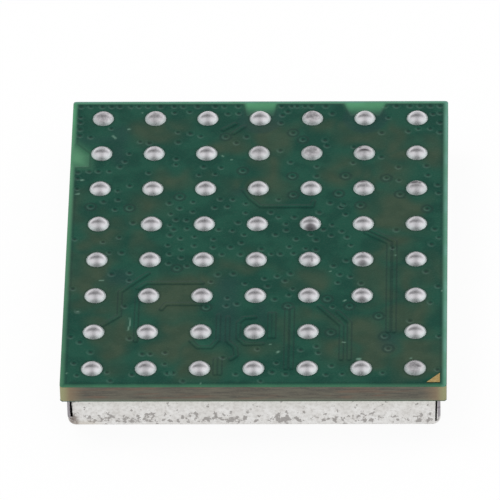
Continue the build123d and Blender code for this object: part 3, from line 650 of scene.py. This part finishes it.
def boardMaskFinish(name):
    # Dark green mask: teal or olive by what lies under it, pale where no copper does, with painted light
    # through the laminate towards the back and edges, painted shade beside the traces, along the copper's
    # edges and round the domes' feet, via plugs darker with painted shade in their pits, painted highlights
    # on and round the via rims, dark rings round the larger vias, pale specks, and a faint orange peel
    finish = Finish(name)
    spread, noise, ridge, attribute = finish.spread, finish.noise, finish.ridge, finish.attribute
    cloud, speckle = noise(0.9, 3, seed=1), noise(0.10, 2, seed=2)
    x, y, via = finish.axis("X"), finish.axis("Y"), attribute("viaNear")
    # Mask over bare laminate: its own paler green, with painted light through the laminate from behind,
    # lighter towards the back and at the right and back edges
    bareAndBacklit = finish.layers(
        (66, 112, 88),
        (spread(y, -7.0, 5.0), (87, 142, 108)),
        (spread(y, 5.5, 7.2), (84, 150, 111)),
        (spread(x, halfWidth - 0.25, halfWidth - 0.1), (104, 158, 140)),
        (spread(y, halfLength - 0.16, halfLength - 0.04), (92, 146, 130)),
        (spread(cloud, 0.35, 0.65, 0, 0.4), (72, 130, 94)))
    olive = finish.blend(spread(noise(0.6, 3, seed=4), 0.4, 0.6), (50, 71, 55), (57, 76, 59))
    colour = finish.layers(
        (14, 66, 54),
        (spread(cloud, 0.38, 0.62), (24, 77, 62)),
        (attribute("olive"), olive),
        (attribute("deep"), (30, 62, 60), 0.5),
        (attribute("bright"), (36, 96, 76)),
        # painted shade along both sides of each trace
        (ridge(attribute("traceEdge"), -0.05, -0.01, 0.01, 0.05), (18, 44, 42), 0.48),
        (ridge(attribute("ringNear"), 0.12, 0.18, 0.22, 0.29), (26, 52, 47), 0.55),
        # via plugs darker at their middles: the plug's own dark, with painted shade in the pit
        (spread(via, 0.03, 0.10, 1, 0), (27, 44, 42), 0.6),
        # painted highlight on each via's rim
        (ridge(via, 0.10, 0.125, 0.14, 0.17), (96, 130, 120), 0.05),
        # painted highlight: a pale crescent round each via
        (attribute("viaHighlight"), (120, 150, 138), 0.13),
        # painted shadow round each dome's foot
        (spread(attribute("domeNear"), 0.43, 0.52, 1, 0), (24, 50, 42), 0.35),
        (attribute("bareAndBacklit"), bareAndBacklit),
        # painted shadow just inside the copper's edges
        (ridge(attribute("copperDepth"), 0.0, 0.05, 0.07, 0.15), (18, 44, 42), 0.3),
        (finish.maths("ABSOLUTE", spread(speckle, 0.3, 0.7, -0.10, 0.10)), (70, 100, 88)),
        (attribute("pale"), (140, 180, 160), 0.42))
    finish.bump(noise(0.16, 2, seed=5), 0.004)
    finish.shader.inputs["Specular IOR Level"].default_value = 0.15
    return finish.look(colour, spread(speckle, 0.3, 0.7, 0.20, 0.30))


def ballSideMask(material):
    # A height field over the board's outline, with a skirt down to the laminate all round
    columns = int(round(2 * halfWidth / maskSettings["cell"])) + 1
    rows = int(round(2 * halfLength / maskSettings["cell"])) + 1
    x, y = np.meshgrid(np.linspace(-halfWidth, halfWidth, columns),
                       np.linspace(-halfLength, halfLength, rows))
    x, y = roundCorners(x, y, halfWidth, halfLength, coreSettings["corner"])
    tones = maskTones(x, y)
    top = np.stack([x, y, maskHeight(x, y, tones)], -1).reshape(-1, 3)
    index = np.arange(rows * columns).reshape(rows, columns)
    rim = np.concatenate([index[0, :-1], index[:-1, -1], index[-1, :0:-1], index[:0:-1, 0]])
    skirt = top[rim].copy()
    skirt[:, 2] = laminateTop
    lower = len(top) + np.arange(len(rim))
    side = np.stack([rim, lower, np.roll(lower, -1), np.roll(rim, -1)], -1)
    layers = {key: np.concatenate([values.ravel(), values.ravel()[rim]]) for key, values in tones.items()}
    makePiece("ballSideMask", np.concatenate([top, skirt]), [gridFaces(rows, columns), side], material,
              "green_mask", ["ball_side_mask"], layers)


viaSettings = {"segments": 12, "radii": (0.05, 0.09, 0.125, 0.18), "heights": (-0.010, -0.004, 0.004, 0.0012),
               "hollow": -0.012, "spread": 0.15, "deeper": 0.5, "seed": 31}


def viaPlugs(material):
    # One dish for each via: rings at set radii and heights about its centre, each dish scaled a little by
    # chance, with the outermost ring lying on the mask
    s = viaSettings
    random = np.random.default_rng(s["seed"])
    count = len(viaPlaces)
    scale = 1 + s["spread"] * (random.random(count) - 0.5) * 2
    deep = 1 + s["deeper"] * (random.random(count) - 0.5)
    radii, heights = np.array(s["radii"]), np.array(s["heights"])
    reach = radii[None, :, None] * scale[:, None, None] * np.ones(s["segments"])
    points = capPoints(viaPlaces, reach, heights[None, :, None] * deep[:, None, None], s["hollow"] * deep)
    points = points.reshape(-1, 3)
    tones = maskTones(points[:, 0], points[:, 1])
    clear = dict(tones, viaNear=np.full(len(points), 1.0))
    points[:, 2] += maskHeight(points[:, 0], points[:, 1], clear)
    tones["viaNear"] = np.tile(np.concatenate([[0], np.repeat(radii, s["segments"])]), count)
    makePiece("viaPlugs", points, polarFaces(count, len(radii), s["segments"]), material, "green_mask",
              ["ball_side_mask"], tones)


maskFinish = boardMaskFinish("boardMask")
ballSideMask(maskFinish)
viaPlugs(maskFinish)

# Solder domes
domeSettings = {"segments": 40, "rings": 14, "radius": 0.4195, "height": domeHigh[2] - copperTop - 0.001,
                "lower": 0.04, "narrower": 0.012, "uneven": 0.010, "waves": (2, 3, 5), "crown": 0.16,
                "pit": 0.003, "pitPitch": 0.07, "pitShare": 0.75, "dent": 0.002, "stainSoft": (0.5, 1.2),
                "seed": 41}
# Domes that came out matt: place, share
dullDomes = [((-6, 7), 0.75), ((-4, 7), 0.6), ((2, 7), 0.9), ((2, 5), 0.8), ((4, 5), 0.45), ((0, 5), 0.35),
             ((4, 3), 0.35), ((6, 3), 0.35), ((6, -7), 0.75), ((0, -5), 0.25), ((-4, -7), 0.3)]
# Dark stains and scratches on domes: middle, half width, half length, share
stains = [
    (2.02, 0.70, 0.27, 0.13, 0.75), (2.12, 1.14, 0.06, 0.06, 0.55), (4.0, -0.84, 0.06, 0.06, 0.6),
    (4.0, -1.30, 0.22, 0.09, 0.5), (4.02, -2.84, 0.06, 0.05, 0.6), (4.0, -3.31, 0.22, 0.08, 0.45),
    (5.92, 3.10, 0.18, 0.09, 0.8), (6.12, 3.08, 0.07, 0.07, 0.7), (3.95, 3.15, 0.15, 0.07, 0.75),
    (4.02, 4.94, 0.22, 0.05, 0.7), (3.84, 5.12, 0.07, 0.06, 0.7), (1.9, 7.12, 0.09, 0.07, 0.35),
    (2.16, 6.94, 0.08, 0.06, 0.3), (2.12, 5.02, 0.1, 0.1, 0.3), (2.1, -1.2, 0.05, 0.1, 0.5),
    (5.9, -6.95, 0.15, 0.04, 0.4), (6.14, -7.1, 0.1, 0.05, 0.4), (-2.0, 2.98, 0.05, 0.08, 0.3),
    (-4.05, -7.05, 0.08, 0.04, 0.3)]


def solderDomes(material):
    # Each dome is a sphere's cap on its land: at share t from the apex its angle is t times the wetting
    # angle. Its radius wanders with the turn by a few low waves, and its crown is pitted a little.
    s = domeSettings
    random = np.random.default_rng(s["seed"])
    count = len(domePlaces)
    turn = np.linspace(0, 2 * np.pi, s["segments"], endpoint=False)
    share = np.linspace(0, 1, s["rings"] + 1)[1:]
    height = s["height"] * (1 - s["lower"] * random.random(count))
    radius = s["radius"] * (1 - s["narrower"] * random.random(count))
    sphere = (radius ** 2 + height ** 2) / (2 * height)
    wetting = np.arcsin(radius / sphere)
    wave = np.ones((count, len(turn)))
    for order in s["waves"]:
        phase = random.random(count) * 2 * np.pi
        size = s["uneven"] * random.random(count) / order ** 0.5
        wave = wave + size[:, None] * (np.cos(order * turn[None] + phase[:, None]) - 1) / 2
    angle = wetting[:, None, None] * share[None, :, None]
    reach = sphere[:, None, None] * np.sin(angle) * wave[:, None, :]
    rise = sphere[:, None, None] * (np.cos(angle) - np.cos(wetting)[:, None, None])
    points = capPoints(domePlaces, reach, copperTop + rise, copperTop + height - s["dent"])
    away = np.concatenate([np.zeros((count, 1)), reach.reshape(count, -1)], 1)
    pits = softNoise(points[:, 1:, 0], points[:, 1:, 1], s["pitPitch"], 42) - s["pitShare"]
    points[:, 1:, 2] += s["pit"] * np.exp(-(away[:, 1:] / s["crown"]) ** 2) * pits
    dull, stain = np.zeros(away.shape), np.zeros(away.shape)
    for (placeX, placeY), amount in dullDomes:
        dull[np.argmin(np.hypot(domePlaces[:, 0] - placeX, domePlaces[:, 1] - placeY - gridY))] = amount
    for middleX, middleY, halfX, halfY, amount in stains:
        spot = np.hypot((points[..., 0] - middleX) / halfX, (points[..., 1] - gridY - middleY) / halfY)
        stain = np.maximum(stain, amount * (1 - smooth(spot, *s["stainSoft"])))
    makePiece("solderDomes", points, polarFaces(count, s["rings"], s["segments"]), material, "solder",
              ["solder_balls"], {"fromApex": away, "dull": dull, "stain": stain})


def domeFinish():
    # Bright reflowed tin with a frosted crown, rougher towards its foot. Matt domes are greyer and mottled.
    finish = Finish("domeSolder")
    spread, noise, product = finish.spread, finish.noise, finish.product
    apex, dull = finish.attribute("fromApex"), finish.attribute("dull")
    frost = product(spread(apex, 0.06, 0.24, 1, 0), spread(noise(0.07, 3, seed=6), 0.52, 0.66))
    mottle = spread(noise(0.12, 3, seed=15, rough=0.6), 0.42, 0.6)
    colour = finish.layers(
        (219, 218, 222),
        (spread(noise(0.4, 2, seed=7), 0.35, 0.65), (229, 227, 231)),
        (frost, (130, 124, 132), 0.3),
        (dull, finish.blend(mottle, (212, 208, 210), (150, 144, 148)), 0.6),
        (spread(apex, 0.27, 0.40, 0, 0.8), (224, 235, 234)),
        (finish.attribute("stain"), (58, 52, 60)))
    finish.bump(noise(0.05, 2, seed=8), 0.0015)
    gloss = finish.maths("ADD", spread(apex, 0.05, 0.3, 0.30, 0.24), spread(apex, 0.28, 0.41, 0, 0.26))
    return finish.look(colour, finish.maths("ADD", gloss, product(dull, 0.15)), 1.0)


solderDomes(domeFinish())

# Laminate
def outlinePath(inset):
    # Points anticlockwise round the board: four straight sides joined by quarter circles, drawn in by inset
    s = coreSettings
    radius = max(s["corner"] - inset, s["least"])
    w, l = halfWidth - inset - radius, halfLength - inset - radius
    bends = []
    for x, y, start in ((w, -l, -90), (w, l, 0), (-w, l, 90), (-w, -l, 180)):
        arc = np.radians(start + np.linspace(0, 90, s["perCorner"]))
        bends.append(np.stack([x + radius * np.cos(arc), y + radius * np.sin(arc)], -1))
    share = np.linspace(0, 1, s["perSide"] + 2)[1:-1, None]
    return np.concatenate([part for bend, after in zip(bends, bends[1:] + bends[:1])
                           for part in (bend, bend[-1] + (after[0] - bend[-1]) * share)])


def laminateCore(material):
    # The sawn edge carried round the outline: a profile of inset and height, closed by flat caps, whose
    # face is scored by layers that run along the edge
    s = coreSettings
    bottom, top = boardLow[2], laminateTop
    middle = np.linspace(bottom + s["round"], top - s["round"] / 2, s["levels"])
    profile = ([(s["flat"], bottom), (s["round"], bottom), (s["round"] / 4, bottom + s["round"] / 4)]
               + [(0.0, z) for z in middle]
               + [(s["round"] / 8, top - s["round"] / 8), (s["round"], top), (s["flat"], top)])
    rings = []
    for inset, z in profile:
        path = outlinePath(inset)
        run, level = np.arange(len(path)) * s["step"], np.full(len(path), z)
        if inset == 0.0:
            fine = softNoise(run, level, s["pitches"][0], 51) * s["shares"][0]
            layer = softNoise(run / s["drawn"], level, s["pitches"][1], 52) * s["shares"][1]
            depth = s["streak"] * (fine + layer)
            path = path * (1 - depth[:, None] / halfWidth)
        rings.append(np.concatenate([path, level[:, None]], 1))
    makePiece("laminateCore", *sweptShell(rings), material, "laminate", ["circuit_board"])


def laminateFinish():
    # Sawn glass and epoxy: brown-grey layers along the edge, yellow-green where light gets in at the corners
    finish = Finish("sawnLaminate")
    spread, noise, maths = finish.spread, finish.noise, finish.maths
    aside, along = maths("ABSOLUTE", finish.axis("X")), maths("ABSOLUTE", finish.axis("Y"))
    toCorner = maths("ADD", maths("SUBTRACT", halfWidth, aside), maths("SUBTRACT", halfLength, along))
    layer = noise(0.05, 3, stretch=(14, 14, 1), seed=9, rough=0.6)
    colour = finish.layers(
        (82, 80, 72),
        (spread(layer, 0.36, 0.64), (104, 101, 88)),
        (spread(noise(0.03, 2, stretch=(3, 3, 1), seed=10), 0.5, 0.75, 0, 0.5), (124, 116, 98)),
        (spread(noise(0.7, 2, stretch=(2, 2, 0.2), seed=11), 0.5, 0.7, 0, 0.55), (118, 92, 76)),
        (spread(finish.axis("Z"), boardLow[2] + 0.02, boardLow[2] + 0.16, 1, 0), (112, 119, 103), 0.85),
        # painted light getting in at the corners: paler towards them, yellow-green at them
        (spread(toCorner, 0.15, 1.0, 0.85, 0), (144, 124, 96)),
        (spread(toCorner, 0.08, 0.42, 1, 0), (152, 152, 112)))
    finish.bump(layer, 0.01)
    return finish.look(colour, 0.7)


laminateCore(laminateFinish())

# Shield can. Each slit has the width of its mouth and of its root, and the height of its root.
canSettings = {"sheet": 0.1, "bend": 0.22, "lidCorner": 0.32, "sharp": 0.015, "sharpOver": (0.20, 0.60),
               "left": (0.06, 0.11, 0.52), "right": (0.07, 0.10, 0.24), "wave": 0.006, "wavePitch": 1.3,
               "waveOver": (0.1, 0.3), "fine": 0.03, "fineTo": 0.7, "coarse": 0.12, "brink": 0.001,
               "levels": 14, "arc": 7, "lidRings": (0.99, 0.9, 0.7, 0.4, 0.12), "gather": 0.03}


def wallRun(half, first):
    # Distances from one corner to the middle of a wall: close together near the corner, then wider
    s = canSettings
    near = np.arange(first, s["fineTo"], s["fine"])
    far = np.linspace(near[-1], half, int((half - near[-1]) / s["coarse"]) + 2)[1:]
    return np.concatenate([near, far])


def canColumns():
    # Round the can, anticlockwise from its front left corner: the outline point of each column, the
    # height of its top, and how far its foot leans towards the corner, as the edge beside a slit does
    s = canSettings
    halfX, halfY, seat = canHigh
    ends = []
    for mouth, root, stop in (s["left"], s["right"]):
        rows = [(d, seat, 0) for d in (0.0, s["fine"], 2 * s["fine"], s["sheet"])]
        rows += [(s["sheet"] + d, stop, 0) for d in (s["brink"], root / 2, root - s["brink"])]
        rows += [(s["sheet"] + root, seat, root - mouth)]
        rows += [(d, seat, 0) for d in wallRun(halfX, s["sheet"] + root + s["fine"])]
        ends.append(np.array(rows))
    left, right = ends[0] * (1, 1, -1) - (halfX, 0, 0), ends[1] * (-1, 1, 1) + (halfX, 0, 0)
    x, top, lean = np.concatenate([left, right[-2::-1]]).T
    run = wallRun(halfY, s["fine"])
    side = np.concatenate([run - halfY, (halfY - run)[-2::-1]])
    walls = [(x, -halfY, top, lean), (halfX, side, seat, 0), (x[::-1], halfY, top[::-1], lean[::-1]),
             (-halfX, -side, seat, 0)]
    return np.concatenate([np.stack(np.broadcast_arrays(*wall), -1) for wall in walls])


def shieldSheet(material):
    # One folded sheet: a profile carried round the outline. From the middle of the lid's outer face it runs
    # out to the bend, up the wall to each column's own top, over the cut edge, and back down the inside.
    # The bends are quarter circles about a shared centre. The lid's corners are round in plan and turn
    # sharp as the walls rise. Where the top drops between two columns, the cut edge becomes a slit's side.
    s = canSettings
    x0, y0, top, lean = canColumns().T
    halfX, halfY, bend = canHigh[0], canHigh[1], s["bend"]
    turn = np.radians(np.linspace(90, 0, s["arc"]))
    climb = np.linspace(0, 1, s["levels"])[1:]

    def face(radius):
        # Inset, base and share of the climb for one face of the sheet, from the lid to the cut edge
        arc = [(bend - radius * math.cos(a), bend - radius * math.sin(a), 0) for a in turn]
        return arc + [(bend - radius, bend, share) for share in climb]

    def ring(inset, base, share):
        z = base + share * (top - base)
        run = np.clip((z - s["right"][2]) / (canHigh[2] - s["right"][2]), 0, 1)
        away = [half - inset - np.maximum(half - np.abs(c) - inset, 0)
                - s["gather"] * np.minimum(half - np.abs(c), inset)
                for half, c in ((halfX, x0 + lean * run), (halfY, y0))]
        x, y = np.sign(x0) * away[0], np.sign(y0) * away[1]
        radius = s["sharp"] + (s["lidCorner"] - s["sharp"]) * (1 - smooth(z, *s["sharpOver"]))
        x, y = roundCorners(x, y, halfX - inset, halfY - inset, np.maximum(radius - inset, s["sharp"]))
        bow = s["wave"] * softNoise(x, y + z, s["wavePitch"], 61) * smooth(z, *s["waveOver"])
        return np.stack([x * (1 - bow / halfX), y * (1 - bow / halfY), z], -1)

    outer, inner = face(bend), face(bend - s["sheet"])[::-1]
    rings = [ring(*level) for level in outer + inner]
    lid = [np.concatenate([rings[0][:, :2] * k, np.zeros((len(x0), 1))], 1) for k in s["lidRings"][::-1]]
    inside = [np.concatenate([rings[-1][:, :2] * k, rings[-1][:, 2:]], 1) for k in s["lidRings"]]
    rim = (len(lid) + len(outer) - 1) * len(x0)
    makePiece("shieldSheet", *sweptShell(lid + rings + inside), material, "tinned_sheet", ["shield_can"],
              flat=np.arange(rim, rim + len(x0)))


def tinnedSheetFinish():
    # Satin tin plate: pale and finely mottled, with grey flecks that gather in the lower half of the wall,
    # painted shade towards the top of the wall under the board and in a darker line along the bend, a brown
    # stain at the front left corner, and greyer cut edges
    finish = Finish("tinnedSheet")
    spread, noise, maths, product = finish.spread, finish.noise, finish.maths, finish.product
    x, y, z = [finish.axis(letter) for letter in "XYZ"]
    aside, along = maths("ABSOLUTE", x), maths("ABSOLUTE", y)
    wallX, wallY = canHigh[:2]
    gather = maths("ADD", spread(z, 0.35, 0.92, 0.155, 0.03), product(noise(0.9, 2, seed=16), 0.10))
    gather = maths("ADD", gather, spread(z, 0.17, 0.30, -0.10, 0))
    fleck = spread(maths("ADD", noise(0.21, 3, seed=12, rough=0.62), gather), 0.705, 0.755)
    corner = maths("MAXIMUM", spread(aside, wallX - 0.32, wallX - 0.22),
                   spread(along, wallY - 0.32, wallY - 0.22))
    # painted shade: a darker line along the bend at the wall's foot
    bendShade = product(spread(z, 0.05, 0.15, 1, 0), corner, spread(noise(0.8, 2, seed=18), 0.35, 0.6, 0.3, 0.65))
    tan = product(spread(x, -6.2, -5.4, 1, 0), spread(z, 0.15, 0.45, 1, 0))
    stain = product(spread(x, 0.32 - wallX, 0.48 - wallX, 1, 0), spread(z, 0.42, 0.66, 1, 0),
                    spread(noise(0.2, 2, seed=19), 0.35, 0.55, 0.35, 0.8))
    edge = product(spread(aside, wallX - 0.115, wallX - 0.095), spread(along, wallY - 0.03, wallY - 0.01),
                   spread(z, 0.1, 0.3))
    colour = finish.layers(
        (226, 224, 221),
        (spread(noise(0.5, 3, seed=13), 0.35, 0.65), (236, 235, 233)),
        # painted shade: darker towards the top of the wall, under the board
        (spread(z, 0.85, 1.45, 0, 0.8), (214, 214, 207)),
        (spread(noise(0.15, 3, seed=17, rough=0.6), 0.42, 0.66), (190, 187, 182), 0.45),
        (fleck, (170, 166, 163), 0.8),
        (bendShade, (146, 142, 138)),
        (tan, (190, 172, 140), 0.25),
        (stain, (122, 108, 100)),
        (edge, (150, 145, 152), 0.85))
    finish.bump(noise(0.05, 2, seed=14), 0.002)
    return finish.look(colour, maths("ADD", spread(fleck, 0, 1, 0.34, 0.55), product(edge, 0.1)), 1.0)


shieldSheet(tinnedSheetFinish())

# Finishes of the nodes that keep their CAD shape
def dress(material, *names):
    for name in names:
        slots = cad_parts[name].data.materials
        slots.clear()
        slots.append(material)


dress(grainy("innerMask", (44, 84, 68), (60, 100, 80), 0.8, 0.4), "part_side_mask")
dress(grainy("goldFlash", (222, 190, 124), (236, 206, 144), 0.12, 0.42, 1.0, 0.002), "index_mark", "can_land")
dress(grainy("jointSolder", (196, 194, 198), (222, 220, 222), 0.25, 0.35, 1.0, 0.003), "can_solder",
      "component_solder")
dress(grainy("tinPlating", (186, 184, 182), (212, 210, 208), 0.2, 0.42, 1.0, 0.002), "radio_chip_leads",
      "flash_memory_leads", "power_amplifier_leads", "crystal_pads", "band_filter_ends", "balun_ends",
      "voltage_regulator_leads", "capacitor_ends", "bulk_capacitor_ends", "resistor_ends", "inductor_ends",
      "ferrite_bead_ends")
dress(grainy("blackMould", (38, 38, 40), (50, 50, 52), 0.3, 0.62, 0.0, 0.004), "radio_chip", "flash_memory",
      "power_amplifier", "voltage_regulator")
dress(grainy("darkCeramic", (64, 60, 58), (80, 76, 72), 0.3, 0.5, 0.0, 0.003), "crystal_base", "ferrite_bead")
dress(grainy("nickelLid", (206, 204, 198), (226, 225, 220), 0.2, 0.28, 1.0, 0.002, (6, 1, 1)), "crystal_lid")
dress(grainy("paleCeramic", (206, 210, 212), (224, 226, 228), 0.3, 0.45, 0.0, 0.002), "band_filter", "balun")
dress(grainy("tanCeramic", (156, 126, 92), (178, 148, 112), 0.25, 0.5, 0.0, 0.003), "capacitors",
      "bulk_capacitors")
dress(grainy("blackGlaze", (24, 24, 28), (38, 38, 44), 0.25, 0.25, 0.0, 0.001), "resistors")
dress(grainy("blueCeramic", (136, 160, 174), (164, 184, 194), 0.25, 0.4, 0.0, 0.002), "inductors")
print("finishes on the CAD nodes")

bpy.context.view_layer.update()
